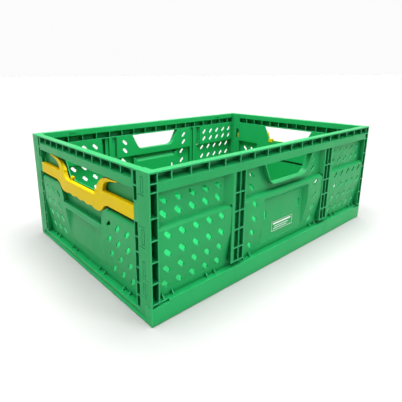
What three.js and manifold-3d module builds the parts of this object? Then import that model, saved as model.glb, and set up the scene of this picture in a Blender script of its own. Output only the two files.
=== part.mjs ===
// Collapsible storage crate, 600 x 400 mm footprint, in millimetres with +Z up.
// The origin is on the ground at the middle of the footprint. Each wall is drawn once in its own
// wall frame: x runs along the wall, y is the depth behind the crate's outer face, z is up.
import * as THREE from 'three';
import { mergeVertices } from 'three/addons/utils/BufferGeometryUtils.js';
import Module from 'manifold-3d';

const wasm = await Module();
wasm.setup();

// ---------- driving dimensions ----------
const LENGTH = 600;
const WIDTH = 400;
const HEIGHT = 214;
const SKIN = 2.2;
const WALL_DEPTH = 12;
const REACH = 1;                 // how far a cutter runs past the face it cuts
const GAP = 0.3;                 // between neighbouring nodes
const WELD = 0.03;               // shortest edge kept on a finished solid
const BACK = WALL_DEPTH - SKIN;  // depth of the recessed skin's outer face
const FRONT = 0.6;               // depth of the bulged skin's outer face

// top beam of every wall
const BEAM_BOTTOM = 187;
const BAND_TOP = 199.5;
const WEB_BACK_TOP = 204.5;
const FLANGE_BOTTOM = HEIGHT - 2.4;
const POCKET_RIB = 1.8;

// long walls
const LONG_HALF = LENGTH / 2;
const LONG_PANEL_END = 288;
const LONG_RIB_PITCH = 33;
const LONG_RIB_COUNT = 8;
const LONG_LEDGE = 139;
const LONG_KNEE = 92;
const LONG_TOE = 42;
const LONG_BOTTOM = 31.6;
const POST_CENTRE = 130.5;
const POST_CHANNEL = 9.6;
const POST_STRIP = 8.5;
const POST_BOTTOM = 39;
const POST_PLATE = 6.4;          // depth of the plate between the outer pockets and the inner grooves
const POST_RIB_HEIGHTS = [63, 94, 124, 154];
const LONG_SLOT_COLUMNS = [92, 169.5, 195, 220.5, 246, 271];
const LONG_SLOT_ROWS = [50.5, 75, 100, 125.5, 152, 171.5];
const FIELD_HALF = 67;
const FIELD_TOP = 128;
const FIELD_TOP_BACK = 118;      // the field's slanted top meets its back here
const CLIP_SLOT_X = 51;
const CLIP_SLOT_HALF = 2.5;
const CLIP_SLOT_BOTTOM = 86;
const CLIP_SLOT_TOP = 100;

// corner posts, which are part of the long walls
const RETURN_DEPTH = 36;
const POST_FACE_DEPTH = 26;
const POST_FOOT = 15;
const CORNER_BLOCK_DEPTH = 14;
const CORNER_BLOCK_HEIGHT = 27;
const COLUMN_RIB_HEIGHTS = [63, 94, 124, 154, 187.5, 199];
const CHANNEL_RIB_HEIGHTS = [34, 53.5, 76.5, 99.5, 121.5, 143.5, 171, 192];
const STRIKE_BOTTOM = 143.5;
const STRIKE_TOP = 171;

// short walls
const SHORT_HALF = WIDTH / 2 - RETURN_DEPTH - 0.5;
const SHORT_RIB_PITCH = 27;
const SHORT_RIB_COUNT = 5;
const SHORT_LEDGE = 138;
const SHORT_KNEE = 88;
const SHORT_TOE = 26;
const SHORT_BOTTOM = 15;
const SHORT_SLOT_COLUMNS = [92, 117.5, 143];
const SHORT_SLOT_ROWS = [39, 65, 90, 114];
const SHORT_FIELD_HALF = 64;
const SHORT_FIELD_TOP = 95;
const SHORT_FIELD_DEPTH = 8.2;
const SHORT_FIELD_BOTTOM = 38;
const POCKET_HALF = 70;
const POCKET_BEND = 24;          // how far the finger pocket's edge bends outwards above the shelf
const SHELF_TOP = 105;

// hand hole, the same in all four walls
const HOLE_TOP_HALF = 70;
const HOLE_BOTTOM_HALF = 51;
const HOLE_BOTTOM = 151;
const HOLE_ROUND = 9;

// slanted vent slots
const SLOT_LENGTH = 15;
const SLOT_WIDTH = 6.2;
const SLOT_ARC_STEPS = 2;

// latch handle
const BAR_FRONT = 0.5;
const BAR_BACK = 9.3;
const BAR_BOTTOM = 142;
const BAR_TOP = 162;
const BAR_INNER = 90;
const GRIP_BOTTOM = 126;
const GRIP_TOP = 150;
const GRIP_HALF = 60;
const BOSS_INNER = 65;
const BOSS_OUTER = 73;
const BOSS_TOP = 160;
const TONGUE_REACH = 6.5;
const TONGUE_BOTTOM = 145.5;
const TONGUE_TOP = 157;
const SCALLOP_PITCH = 26;
const SCALLOP_DEPTH = 2.4;
const HOOK_INNER = 38;
const HOOK_OUTER = 45.5;
const HOOK_HEAD_OUTER = 54;
const HOOK_BOTTOM = 152.3;
const HOOK_TOP = 158;
const HOOK_HEAD_BOTTOM = 146;

// base tray
const LONG_RIM_TOP = 31;
const SHORT_RIM_TOP = 14;
const RIM_DEPTH = 11;
const FLOOR_BOTTOM = 3;
const FLOOR_TOP = 5.5;
const FLOOR_RIB = 2.4;
const FLOOR_RIB_PITCH = 96;

// hinges
const AXIS_DEPTH = 17;
const LONG_AXIS_HEIGHT = 37;
const SHORT_AXIS_HEIGHT = 15;
const LONG_HINGES = [105, 188, 271];
const SHORT_HINGES = [55, 130];
const PIN_RADIUS = 2;
const PIN_HOLE_RADIUS = 2.4;
const LUG_RADIUS = 4.2;
const LUG_BEVEL = 1.7;
const KNUCKLE_RADIUS = 3;
const LUG_INNER = 6.8;
const LUG_OUTER = 9.3;
const PIN_HALF = 9.8;
const KNUCKLE_HALF = 6.3;
const PIN_SIDES = 8;
const GUSSET = 2;
const GUSSET_SPREAD = 8.5;

// label
const LABEL_X = 0;
const LABEL_Z = 65;
const LABEL_LENGTH = 63;
const LABEL_HEIGHT = 18;
const LABEL_THICKNESS = 0.5;

// ---------- solids ----------
function toSolid(geometry) {
  const bare = geometry.index ? geometry.clone() : geometry;
  bare.deleteAttribute('normal');
  bare.deleteAttribute('uv');
  const merged = mergeVertices(bare, 1e-4);
  return new wasm.Manifold(new wasm.Mesh({
    numProp: 3,
    vertProperties: new Float32Array(merged.attributes.position.array),
    triVerts: new Uint32Array(merged.index.array),
  }));
}

function toGeometry(solid) {
  const mesh = solid.asOriginal().simplify(WELD).getMesh();
  const geometry = new THREE.BufferGeometry();
  geometry.setAttribute('position', new THREE.BufferAttribute(new Float32Array(mesh.vertProperties), 3));
  geometry.setIndex(new THREE.BufferAttribute(new Uint32Array(mesh.triVerts), 1));
  geometry.computeVertexNormals();
  return geometry;
}

function block(x0, x1, y0, y1, z0, z1) {
  const box = new THREE.BoxGeometry(x1 - x0, y1 - y0, z1 - z0);
  box.translate((x0 + x1) / 2, (y0 + y1) / 2, (z0 + z1) / 2);
  return toSolid(box);
}

function extruded(points, depth) {
  const shape = new THREE.Shape(points.map(([a, b]) => new THREE.Vector2(a, b)));
  return new THREE.ExtrudeGeometry(shape, { depth, bevelEnabled: false });
}

// An outline in (depth, height), run along the wall from x0 to x1.
function alongWall(points, x0, x1) {
  const geometry = extruded(points, x1 - x0);
  const basis = new THREE.Matrix4().makeBasis(
    new THREE.Vector3(0, 1, 0),
    new THREE.Vector3(0, 0, 1),
    new THREE.Vector3(1, 0, 0),
  );
  geometry.applyMatrix4(basis);
  geometry.translate(x0, 0, 0);
  return toSolid(geometry);
}

// An outline in (x, height), run through the wall from depth y0 to y1.
function throughWall(points, y0, y1) {
  const geometry = extruded(points, y1 - y0);
  geometry.rotateX(Math.PI / 2);
  geometry.translate(0, y1, 0);
  return toSolid(geometry);
}

function unite(solids) {
  return solids.reduce((sum, solid) => sum.add(solid));
}

function mirrored(build) {
  return [build(1), build(-1)].flat();
}

// A block given by distances from the wall's middle, on the side that sign names.
function sideBlock(sign, x0, x1, y0, y1, z0, z1) {
  return sign > 0 ? block(x0, x1, y0, y1, z0, z1) : block(-x1, -x0, y0, y1, z0, z1);
}

function mirrorPoints(points, sign) {
  return sign > 0 ? points : points.map(([x, z]) => [-x, z]).reverse();
}

function rodAlongWall(radius, x0, x1, depth, height) {
  const rod = new THREE.CylinderGeometry(radius, radius, x1 - x0, PIN_SIDES);
  rod.rotateZ(Math.PI / 2);
  rod.translate((x0 + x1) / 2, depth, height);
  return toSolid(rod);
}

// ---------- outlines shared by the walls ----------
// Long strip of constant thickness: outer band, sloped pocket floor, inner lip and top flange.
function beamOutline() {
  return [
    [0, BEAM_BOTTOM], [WALL_DEPTH, BEAM_BOTTOM], [WALL_DEPTH, BEAM_BOTTOM + SKIN],
    [SKIN, BEAM_BOTTOM + SKIN], [SKIN, BAND_TOP - SKIN], [WALL_DEPTH, WEB_BACK_TOP - SKIN],
    [WALL_DEPTH, HEIGHT], [0, HEIGHT], [0, FLANGE_BOTTOM], [BACK, FLANGE_BOTTOM],
    [BACK, WEB_BACK_TOP], [0, BAND_TOP],
  ];
}

// Lower skin: a ledge, a bulged face down to the knee, then a slope back to the toe.
function bulgeOutline(ledge, knee, toe, bottom) {
  return [
    [FRONT, ledge], [FRONT + 0.9, knee], [BACK, toe], [BACK, bottom], [WALL_DEPTH, bottom],
    [WALL_DEPTH, toe], [FRONT + 0.9 + SKIN, knee], [FRONT + SKIN, ledge - SKIN],
    [WALL_DEPTH, ledge - SKIN], [WALL_DEPTH, ledge],
  ];
}

// Solid cross-section of the lower skin, used for plates that close its open ends.
function bulgeEndOutline(ledge, knee, toe, bottom) {
  return [
    [FRONT, ledge], [FRONT + 0.9, knee], [BACK, toe], [BACK, bottom],
    [WALL_DEPTH, bottom], [WALL_DEPTH, ledge],
  ];
}

function slotOutline(x, z, slant) {
  const half = (SLOT_LENGTH - SLOT_WIDTH) / 2;
  const radius = SLOT_WIDTH / 2;
  const points = [];
  for (const end of [0, 1]) {
    for (let step = 0; step <= SLOT_ARC_STEPS; step += 1) {
      const angle = slant - Math.PI / 2 + end * Math.PI + (step / SLOT_ARC_STEPS) * Math.PI;
      const along = end === 0 ? half : -half;
      points.push([
        x + along * Math.cos(slant) + radius * Math.cos(angle),
        z + along * Math.sin(slant) + radius * Math.sin(angle),
      ]);
    }
  }
  return points;
}

function ventSlots(columns, rows) {
  const cutters = [];
  for (const sign of [1, -1]) {
    for (const x of columns) {
      for (const z of rows) {
        const outline = slotOutline(sign * x, z, sign * Math.PI / 4);
        cutters.push(throughWall(outline, -REACH, WALL_DEPTH + REACH));
      }
    }
  }
  return unite(cutters);
}

// Trapezium with two rounded lower corners, grown outwards by margin.
function holeOutline(margin, top) {
  const slope = (HOLE_TOP_HALF - HOLE_BOTTOM_HALF) / (BEAM_BOTTOM - HOLE_BOTTOM);
  const bottom = HOLE_BOTTOM - margin;
  const half = (z) => HOLE_BOTTOM_HALF + margin + slope * (z - HOLE_BOTTOM);
  const round = HOLE_ROUND + margin;
  const side = [];
  for (let step = 0; step <= 3; step += 1) {
    const angle = (step / 3) * (Math.PI / 2);
    const z = bottom + round * (1 - Math.cos(angle));
    side.push([half(z) - round * (1 - Math.sin(angle)), z]);
  }
  side.push([half(top), top]);
  const other = side.map(([x, z]) => [-x, z]).reverse();
  return [...side, ...other];
}

function handHole() {
  return throughWall(holeOutline(0, BEAM_BOTTOM), -REACH, WALL_DEPTH + REACH);
}

function pocketRibs(pitch, count) {
  const ribs = [];
  for (let index = -count; index <= count; index += 1) {
    const x = index * pitch;
    const outline = [
      [0.5, BEAM_BOTTOM + 1], [WALL_DEPTH, BEAM_BOTTOM + 1], [WALL_DEPTH, HEIGHT - 1],
      [0.5, HEIGHT - 1],
    ];
    ribs.push(alongWall(outline, x - POCKET_RIB / 2, x + POCKET_RIB / 2));
  }
  return ribs;
}

// ---------- hinges ----------
// Two base lugs with a pin hole each, standing on the floor behind the rim.
function hingeLugs(x, axisHeight) {
  const footTop = Math.min(axisHeight - LUG_RADIUS, LONG_RIM_TOP - 1);
  const outline = [
    [RIM_DEPTH - 1, FLOOR_BOTTOM], [AXIS_DEPTH + LUG_RADIUS, FLOOR_BOTTOM],
    [AXIS_DEPTH + LUG_RADIUS, axisHeight + LUG_BEVEL], [AXIS_DEPTH + LUG_BEVEL, axisHeight + LUG_RADIUS],
    [AXIS_DEPTH - LUG_BEVEL, axisHeight + LUG_RADIUS], [AXIS_DEPTH - LUG_RADIUS, axisHeight + LUG_BEVEL],
    [AXIS_DEPTH - LUG_RADIUS, footTop], [RIM_DEPTH - 1, footTop],
  ];
  const lugs = [-1, 1].map((sign) => {
    const x0 = sign > 0 ? x + LUG_INNER : x - LUG_OUTER;
    return alongWall(outline, x0, x0 + LUG_OUTER - LUG_INNER);
  });
  const hole = rodAlongWall(PIN_HOLE_RADIUS, x - PIN_HALF - 1, x + PIN_HALF + 1, AXIS_DEPTH, axisHeight);
  return unite(lugs).subtract(hole);
}

// The wall's knuckle, with its pin running out on both sides. Its outer lower corner is cut away,
// so that it clears the rim as the wall folds.
function hingeKnuckle(x, axisHeight) {
  const outline = [
    [WALL_DEPTH - 1, axisHeight + 0.2], [AXIS_DEPTH - KNUCKLE_RADIUS - 0.5, axisHeight - 0.5],
    [AXIS_DEPTH - KNUCKLE_RADIUS + 1, axisHeight - KNUCKLE_RADIUS],
    [AXIS_DEPTH + KNUCKLE_RADIUS, axisHeight - KNUCKLE_RADIUS],
    [AXIS_DEPTH + KNUCKLE_RADIUS, axisHeight + KNUCKLE_RADIUS],
    [WALL_DEPTH - 1, axisHeight + KNUCKLE_RADIUS],
  ];
  const arm = alongWall(outline, x - KNUCKLE_HALF, x + KNUCKLE_HALF);
  return arm.add(rodAlongWall(PIN_RADIUS, x - PIN_HALF, x + PIN_HALF, AXIS_DEPTH, axisHeight));
}

function gusset(x, foot, rise) {
  const outline = [[2.4, foot - 1], [9, foot - 1], [9, foot + rise], [8, foot + rise], [2.4, foot + 1]];
  return alongWall(outline, x - GUSSET / 2, x + GUSSET / 2);
}

// ---------- long wall ----------
function doubleSlotPost(sign) {
  const outerEdge = POST_CENTRE + POST_CHANNEL + 1;
  const innerEdge = POST_CENTRE - POST_CHANNEL - 1;
  const parts = [
    sideBlock(sign, outerEdge, outerEdge + POST_STRIP, 0, SKIN, POST_BOTTOM, BEAM_BOTTOM + 1),
    sideBlock(sign, innerEdge - POST_STRIP / 2, innerEdge, 0, SKIN, POST_BOTTOM, BEAM_BOTTOM + 1),
    sideBlock(sign, innerEdge, outerEdge, POST_PLATE, POST_PLATE + SKIN, POST_BOTTOM, BEAM_BOTTOM + 1),
    sideBlock(sign, POST_CENTRE - 1, POST_CENTRE + 1, 0, WALL_DEPTH, POST_BOTTOM, BEAM_BOTTOM + 1),
  ];
  for (const plate of [outerEdge, innerEdge - SKIN + 0.2]) {
    parts.push(sideBlock(sign, plate, plate + 2, 0, WALL_DEPTH, POST_BOTTOM, BEAM_BOTTOM + 1));
  }
  for (const z of [POST_BOTTOM + 1, ...POST_RIB_HEIGHTS]) {
    parts.push(sideBlock(sign, innerEdge, outerEdge, 0.3, POST_PLATE + SKIN, z - 1, z + 1));
  }
  return parts;
}

// The two grooves that a slot post shows on the inside of the wall.
function innerGrooves(sign) {
  const clear = POST_CHANNEL - 1;
  return [POST_CENTRE - POST_CHANNEL, POST_CENTRE + 1].map((x) => sideBlock(
    sign, x, x + clear, POST_PLATE + SKIN, WALL_DEPTH + REACH, POST_BOTTOM + 3, BEAM_BOTTOM,
  ));
}

// The face plate, ribbed front column and ribbed latch channel at one end of a long wall.
function cornerPost(sign) {
  const face = LONG_HALF - SKIN;
  const inner = LONG_HALF - WALL_DEPTH;
  const channelStart = POST_FACE_DEPTH + 1.5;
  const channelEnd = RETURN_DEPTH - 1.7;
  const blockTop = CORNER_BLOCK_HEIGHT + GAP;
  const parts = [
    sideBlock(sign, face, LONG_HALF, 0, POST_FACE_DEPTH, blockTop, HEIGHT),
    sideBlock(sign, face, LONG_HALF, CORNER_BLOCK_DEPTH + GAP, channelStart, POST_FOOT, HEIGHT),
    sideBlock(sign, inner, LONG_HALF, 0, RETURN_DEPTH, FLANGE_BOTTOM, HEIGHT),
    sideBlock(sign, inner - 2, inner, 0, channelStart, LONG_BOTTOM, HEIGHT),
    sideBlock(sign, inner, LONG_HALF, POST_FACE_DEPTH, channelStart, POST_FOOT, HEIGHT),
    sideBlock(sign, inner, LONG_HALF, channelEnd, RETURN_DEPTH, POST_FOOT, STRIKE_BOTTOM),
    sideBlock(sign, inner, LONG_HALF, channelEnd, RETURN_DEPTH, STRIKE_TOP, HEIGHT),
    sideBlock(sign, inner, inner + 2, channelStart, RETURN_DEPTH, POST_FOOT, STRIKE_BOTTOM),
    sideBlock(sign, inner, inner + 2, channelStart, RETURN_DEPTH, STRIKE_TOP, HEIGHT),
    sideBlock(sign, LONG_HALF - 2.6, LONG_HALF - 0.8, channelStart, RETURN_DEPTH, STRIKE_BOTTOM, STRIKE_TOP),
    sideBlock(sign, inner, LONG_HALF, channelStart, RETURN_DEPTH, POST_FOOT, POST_FOOT + 2),
    sideBlock(sign, inner, LONG_HALF, 0, channelStart, LONG_BOTTOM, LONG_BOTTOM + 2),
  ];
  for (const z of COLUMN_RIB_HEIGHTS) {
    parts.push(sideBlock(sign, inner, LONG_HALF - 0.3, 0.3, POST_FACE_DEPTH + 1, z - 0.9, z + 0.9));
  }
  for (const z of CHANNEL_RIB_HEIGHTS) {
    parts.push(sideBlock(sign, inner, LONG_HALF - 0.3, channelStart - 0.5, RETURN_DEPTH, z - 0.9, z + 0.9));
  }
  return parts;
}

function longWall() {
  const lower = [LONG_LEDGE, LONG_KNEE, LONG_TOE, LONG_BOTTOM];
  const postOuter = POST_CENTRE + POST_CHANNEL + 1;
  const postInner = POST_CENTRE - POST_CHANNEL - 1;
  const parts = [
    alongWall(beamOutline(), -LONG_PANEL_END + 1, LONG_PANEL_END - 1),
    block(-LONG_PANEL_END, LONG_PANEL_END, BACK, WALL_DEPTH, LONG_LEDGE - 1, BEAM_BOTTOM + 1),
    alongWall(bulgeOutline(...lower), -postInner, postInner),
    block(-LONG_PANEL_END, LONG_PANEL_END, BACK, WALL_DEPTH, LONG_BOTTOM, LONG_TOE),
    ...pocketRibs(LONG_RIB_PITCH, LONG_RIB_COUNT),
    ...mirrored((sign) => doubleSlotPost(sign)),
    ...mirrored((sign) => cornerPost(sign)),
    ...mirrored((sign) => {
      const ends = sign > 0 ? [postOuter, LONG_PANEL_END] : [-LONG_PANEL_END, -postOuter];
      return alongWall(bulgeOutline(...lower), ...ends);
    }),
    ...mirrored((sign) => LONG_HINGES.map((x) => hingeKnuckle(sign * x, LONG_AXIS_HEIGHT))),
  ];
  // label field: cut the bulge away, then close the cut with its own back, sides and top
  const field = block(-FIELD_HALF, FIELD_HALF, -REACH, WALL_DEPTH + REACH, LONG_TOE + 1, FIELD_TOP);
  const fieldBack = block(-FIELD_HALF - 1, FIELD_HALF + 1, BACK, WALL_DEPTH, LONG_TOE, FIELD_TOP_BACK + 1);
  const fieldTop = alongWall([
    [FRONT, FIELD_TOP], [BACK, FIELD_TOP_BACK], [WALL_DEPTH, FIELD_TOP_BACK],
    [WALL_DEPTH, FIELD_TOP_BACK + SKIN], [FRONT + SKIN, FIELD_TOP + SKIN], [FRONT, FIELD_TOP + SKIN],
  ], -FIELD_HALF, FIELD_HALF);
  const fieldSides = mirrored((sign) => {
    const outline = bulgeEndOutline(FIELD_TOP + SKIN, LONG_KNEE, LONG_TOE, LONG_TOE - 1);
    const ends = sign > 0 ? [FIELD_HALF, FIELD_HALF + 2] : [-FIELD_HALF - 2, -FIELD_HALF];
    return alongWall(outline, ...ends);
  });
  const collar = throughWall(holeOutline(SKIN, BEAM_BOTTOM + 1), 0, WALL_DEPTH);
  const clipSlots = mirrored((sign) => (
    sideBlock(
      sign, CLIP_SLOT_X - CLIP_SLOT_HALF, CLIP_SLOT_X + CLIP_SLOT_HALF, -REACH, WALL_DEPTH + REACH,
      CLIP_SLOT_BOTTOM, CLIP_SLOT_TOP,
    )
  ));
  return unite(parts)
    .subtract(unite([field, ...mirrored((sign) => innerGrooves(sign))]))
    .add(unite([fieldBack, fieldTop, ...fieldSides]))
    .add(collar)
    .subtract(handHole())
    .subtract(ventSlots(LONG_SLOT_COLUMNS, LONG_SLOT_ROWS))
    .subtract(unite(clipSlots));
}

// ---------- short wall ----------
// One lower side panel, its top inner corner following the handle's bend.
function sidePanelCut(sign) {
  const outline = [
    [0, SHORT_LEDGE + 1], [0, SHELF_TOP], [POCKET_HALF, SHELF_TOP], [POCKET_HALF + 2, 118],
    [POCKET_HALF + 8, 129], [POCKET_HALF + 16, 135.5], [POCKET_HALF + POCKET_BEND, SHORT_LEDGE + 1],
  ].reverse();
  return throughWall(mirrorPoints(outline, sign), -REACH, BACK);
}

function pocketEdge(sign) {
  const outer = [
    [POCKET_HALF - 1, SHELF_TOP - 1], [POCKET_HALF + 1.4, SHELF_TOP - 1], [POCKET_HALF + 4, 117.4],
    [POCKET_HALF + 9.6, 127.4], [POCKET_HALF + 17, 133.4], [POCKET_HALF + POCKET_BEND, SHORT_LEDGE - 2],
    [POCKET_HALF + POCKET_BEND, SHORT_LEDGE], [POCKET_HALF + 16, 135.5], [POCKET_HALF + 8, 129],
    [POCKET_HALF + 2, 118], [POCKET_HALF, SHELF_TOP],
  ];
  return throughWall(mirrorPoints(outer, sign), FRONT + 0.4, WALL_DEPTH);
}

function shortWall() {
  const lower = [SHORT_LEDGE, SHORT_KNEE, SHORT_TOE, SHORT_BOTTOM];
  const parts = [
    alongWall(beamOutline(), -SHORT_HALF, SHORT_HALF),
    block(-SHORT_HALF, SHORT_HALF, BACK, WALL_DEPTH, SHORT_LEDGE - 1, BEAM_BOTTOM + 1),
    alongWall(bulgeOutline(...lower), -SHORT_HALF, SHORT_HALF),
    ...pocketRibs(SHORT_RIB_PITCH, SHORT_RIB_COUNT),
    ...mirrored((sign) => sideBlock(
      sign, SHORT_HALF - 2, SHORT_HALF, 0, WALL_DEPTH, BEAM_BOTTOM, HEIGHT - 1,
    )),
    ...mirrored((sign) => sideBlock(
      sign, SHORT_HALF - 2, SHORT_HALF, FRONT, WALL_DEPTH, SHORT_BOTTOM, SHORT_LEDGE,
    )),
    ...mirrored((sign) => SHORT_HINGES.map((x) => hingeKnuckle(sign * x, SHORT_AXIS_HEIGHT))),
  ];
  const cuts = mirrored((sign) => sidePanelCut(sign));
  const pocketEnd = POCKET_HALF + POCKET_BEND;
  const pocketBack = block(-pocketEnd, pocketEnd, BACK, WALL_DEPTH, SHELF_TOP - 1, SHORT_LEDGE);
  const shelf = block(-POCKET_HALF - 1, POCKET_HALF + 1, FRONT, WALL_DEPTH, SHELF_TOP - SKIN, SHELF_TOP);
  const field = block(
    -SHORT_FIELD_HALF, SHORT_FIELD_HALF, -REACH, WALL_DEPTH + REACH, SHORT_FIELD_BOTTOM, SHORT_FIELD_TOP,
  );
  const fieldBack = block(
    -SHORT_FIELD_HALF - 1, SHORT_FIELD_HALF + 1,
    SHORT_FIELD_DEPTH, SHORT_FIELD_DEPTH + SKIN, SHORT_FIELD_BOTTOM - 2, SHORT_FIELD_TOP + 1,
  );
  const fieldTop = block(
    -SHORT_FIELD_HALF, SHORT_FIELD_HALF,
    FRONT, SHORT_FIELD_DEPTH + SKIN, SHORT_FIELD_TOP, SHORT_FIELD_TOP + 2,
  );
  const fieldSides = mirrored((sign) => {
    const outline = [
      [FRONT, SHORT_FIELD_TOP + 2], [FRONT + 0.9, SHORT_KNEE],
      [SHORT_FIELD_DEPTH + 0.4, SHORT_FIELD_BOTTOM - 1], [WALL_DEPTH - 1, SHORT_FIELD_BOTTOM - 1],
      [WALL_DEPTH - 1, SHORT_FIELD_TOP + 2],
    ];
    const ends = sign > 0
      ? [SHORT_FIELD_HALF, SHORT_FIELD_HALF + 2]
      : [-SHORT_FIELD_HALF - 2, -SHORT_FIELD_HALF];
    return alongWall(outline, ...ends);
  });
  return unite(parts)
    .subtract(unite(cuts))
    .add(unite([pocketBack, shelf, ...mirrored((sign) => pocketEdge(sign))]))
    .subtract(field)
    .add(unite([fieldBack, fieldTop, ...fieldSides]))
    .subtract(ventSlots(SHORT_SLOT_COLUMNS, SHORT_SLOT_ROWS))
    .subtract(handHole());
}

// ---------- latch handle ----------
// Right half of the handle's outline from the middle outwards, mirrored for the other half.
function handleOutline() {
  const under = [];
  const steps = 12;
  for (let step = 0; step <= steps; step += 1) {
    const x = (step / steps) * (SCALLOP_PITCH * 2);
    under.push([x, GRIP_BOTTOM + SCALLOP_DEPTH * Math.sin(Math.PI * x / SCALLOP_PITCH) ** 2]);
  }
  const bend = [
    [GRIP_HALF + 2, GRIP_BOTTOM], [GRIP_HALF + 12, GRIP_BOTTOM + 3], [GRIP_HALF + 21, BAR_BOTTOM - 6],
    [BAR_INNER, BAR_BOTTOM - 1], [BAR_INNER + 6, BAR_BOTTOM],
  ];
  const end = [[SHORT_HALF, BAR_BOTTOM], [SHORT_HALF, BAR_TOP]];
  const over = [
    [BAR_INNER + 8, BAR_TOP], [BAR_INNER - 2, BAR_TOP - 2], [BOSS_OUTER + 4, BOSS_TOP - 4],
    [BOSS_OUTER, BOSS_TOP - 4], [BOSS_OUTER, BOSS_TOP], [BOSS_INNER, BOSS_TOP],
    [BOSS_INNER, BOSS_TOP - 6], [GRIP_HALF - 6, GRIP_TOP],
  ];
  const half = [...under, ...bend, ...end, ...over];
  const other = half.slice(1).map(([x, z]) => [-x, z]).reverse();
  return [...half, ...other];
}

function latchHandle() {
  const body = throughWall(handleOutline(), BAR_FRONT, BAR_BACK);
  const tongues = mirrored((sign) => sideBlock(
    sign, SHORT_HALF - 1, SHORT_HALF + TONGUE_REACH, 4, 8.4, TONGUE_BOTTOM, TONGUE_TOP,
  ));
  // hooks through the hand hole's lower corners, which hold the handle to the wall
  const hooks = mirrored((sign) => [
    sideBlock(sign, HOOK_INNER, HOOK_OUTER, BAR_BACK - 1, WALL_DEPTH + 1, HOOK_BOTTOM, HOOK_TOP),
    sideBlock(
      sign, HOOK_INNER, HOOK_OUTER, BAR_FRONT + 1, BAR_BACK, GRIP_TOP - 1, HOOK_TOP,
    ),
    sideBlock(
      sign, HOOK_INNER, HOOK_HEAD_OUTER, WALL_DEPTH + GAP, WALL_DEPTH + 1.8, HOOK_HEAD_BOTTOM, HOOK_TOP,
    ),
  ]);
  return unite([body, ...tongues, ...hooks]);
}

// Curved leaf that rises from the handle's boss to the underside of the beam.
function springArm(sign) {
  const lower = [
    [BOSS_OUTER, BOSS_TOP + GAP], [BOSS_OUTER + 4, BOSS_TOP + 8], [BOSS_OUTER + 14, BOSS_TOP + 15.5],
    [BOSS_OUTER + 28, BOSS_TOP + 19.5], [BOSS_OUTER + 48, BEAM_BOTTOM - GAP - 2.4],
  ];
  const upper = [
    [BOSS_OUTER + 48, BEAM_BOTTOM - GAP], [BOSS_OUTER + 27, BEAM_BOTTOM - GAP - 1.4],
    [BOSS_OUTER + 11, BOSS_TOP + 20], [BOSS_OUTER - 2, BOSS_TOP + 12], [BOSS_INNER, BOSS_TOP + GAP],
  ];
  return throughWall(mirrorPoints([...lower, ...upper], sign), BAR_FRONT + 1, BAR_BACK - 0.8);
}

// ---------- base tray ----------
function longRimOutline() {
  return [
    [0, 0], [SKIN, 0], [SKIN, LONG_RIM_TOP - SKIN], [RIM_DEPTH - SKIN, LONG_RIM_TOP - SKIN],
    [RIM_DEPTH - SKIN, FLOOR_BOTTOM], [RIM_DEPTH, FLOOR_BOTTOM], [RIM_DEPTH, LONG_RIM_TOP],
    [0, LONG_RIM_TOP],
  ];
}

function shortRimOutline() {
  return [
    [0, 0], [2.6, 0], [4.8, 3.4], [4.8, SHORT_RIM_TOP - SKIN], [RIM_DEPTH - SKIN, SHORT_RIM_TOP - SKIN],
    [RIM_DEPTH - SKIN, FLOOR_BOTTOM], [RIM_DEPTH, FLOOR_BOTTOM], [RIM_DEPTH, SHORT_RIM_TOP],
    [0, SHORT_RIM_TOP], [0, SHORT_RIM_TOP - 2], [2.4, SHORT_RIM_TOP - 4], [2.4, 4.4], [0, 2.4],
  ];
}

// Places a solid drawn in the wall frame on the side of the crate that side names.
const SIDES = {
  front: { turn: 0, x: 0, y: -WIDTH / 2 },
  back: { turn: Math.PI, x: 0, y: WIDTH / 2 },
  left: { turn: -Math.PI / 2, x: -LENGTH / 2, y: 0 },
  right: { turn: Math.PI / 2, x: LENGTH / 2, y: 0 },
};

function onSide(solid, side) {
  const { turn, x, y } = SIDES[side];
  return solid.rotate([0, 0, THREE.MathUtils.radToDeg(turn)]).translate([x, y, 0]);
}

function longRim() {
  const corner = block(
    LONG_PANEL_END - 1, LONG_HALF + REACH, -REACH, WALL_DEPTH + REACH,
    CORNER_BLOCK_HEIGHT, LONG_RIM_TOP + REACH,
  );
  const blocks = mirrored((sign) => sideBlock(
    sign, LONG_HALF - SKIN, LONG_HALF, 0, CORNER_BLOCK_DEPTH, 0, CORNER_BLOCK_HEIGHT,
  ));
  const crossPlates = mirrored((sign) => sideBlock(
    sign, LONG_HALF - RIM_DEPTH, LONG_HALF, CORNER_BLOCK_DEPTH - SKIN, CORNER_BLOCK_DEPTH,
    0, SHORT_RIM_TOP,
  ));
  const lugs = mirrored((sign) => LONG_HINGES.map((x) => hingeLugs(sign * x, LONG_AXIS_HEIGHT)));
  const gussets = mirrored((sign) => LONG_HINGES.flatMap((x) => [
    gusset(sign * x - GUSSET_SPREAD, LONG_RIM_TOP, 9),
    gusset(sign * x + GUSSET_SPREAD, LONG_RIM_TOP, 9),
  ]));
  return unite([alongWall(longRimOutline(), -LONG_HALF, LONG_HALF)])
    .subtract(corner)
    .subtract(corner.mirror([1, 0, 0]))
    .add(unite([
      block(-LONG_HALF, LONG_HALF, 0, RIM_DEPTH, CORNER_BLOCK_HEIGHT - SKIN, CORNER_BLOCK_HEIGHT),
      ...blocks, ...crossPlates, ...lugs, ...gussets,
    ]));
}

function shortRim() {
  const end = WIDTH / 2 - CORNER_BLOCK_DEPTH + 1;
  const lugs = mirrored((sign) => SHORT_HINGES.map((x) => hingeLugs(sign * x, SHORT_AXIS_HEIGHT)));
  const gussets = mirrored((sign) => SHORT_HINGES.flatMap((x) => [
    gusset(sign * x - GUSSET_SPREAD, SHORT_RIM_TOP, 8),
    gusset(sign * x + GUSSET_SPREAD, SHORT_RIM_TOP, 8),
  ]));
  return unite([alongWall(shortRimOutline(), -end, end), ...lugs, ...gussets]);
}

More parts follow.
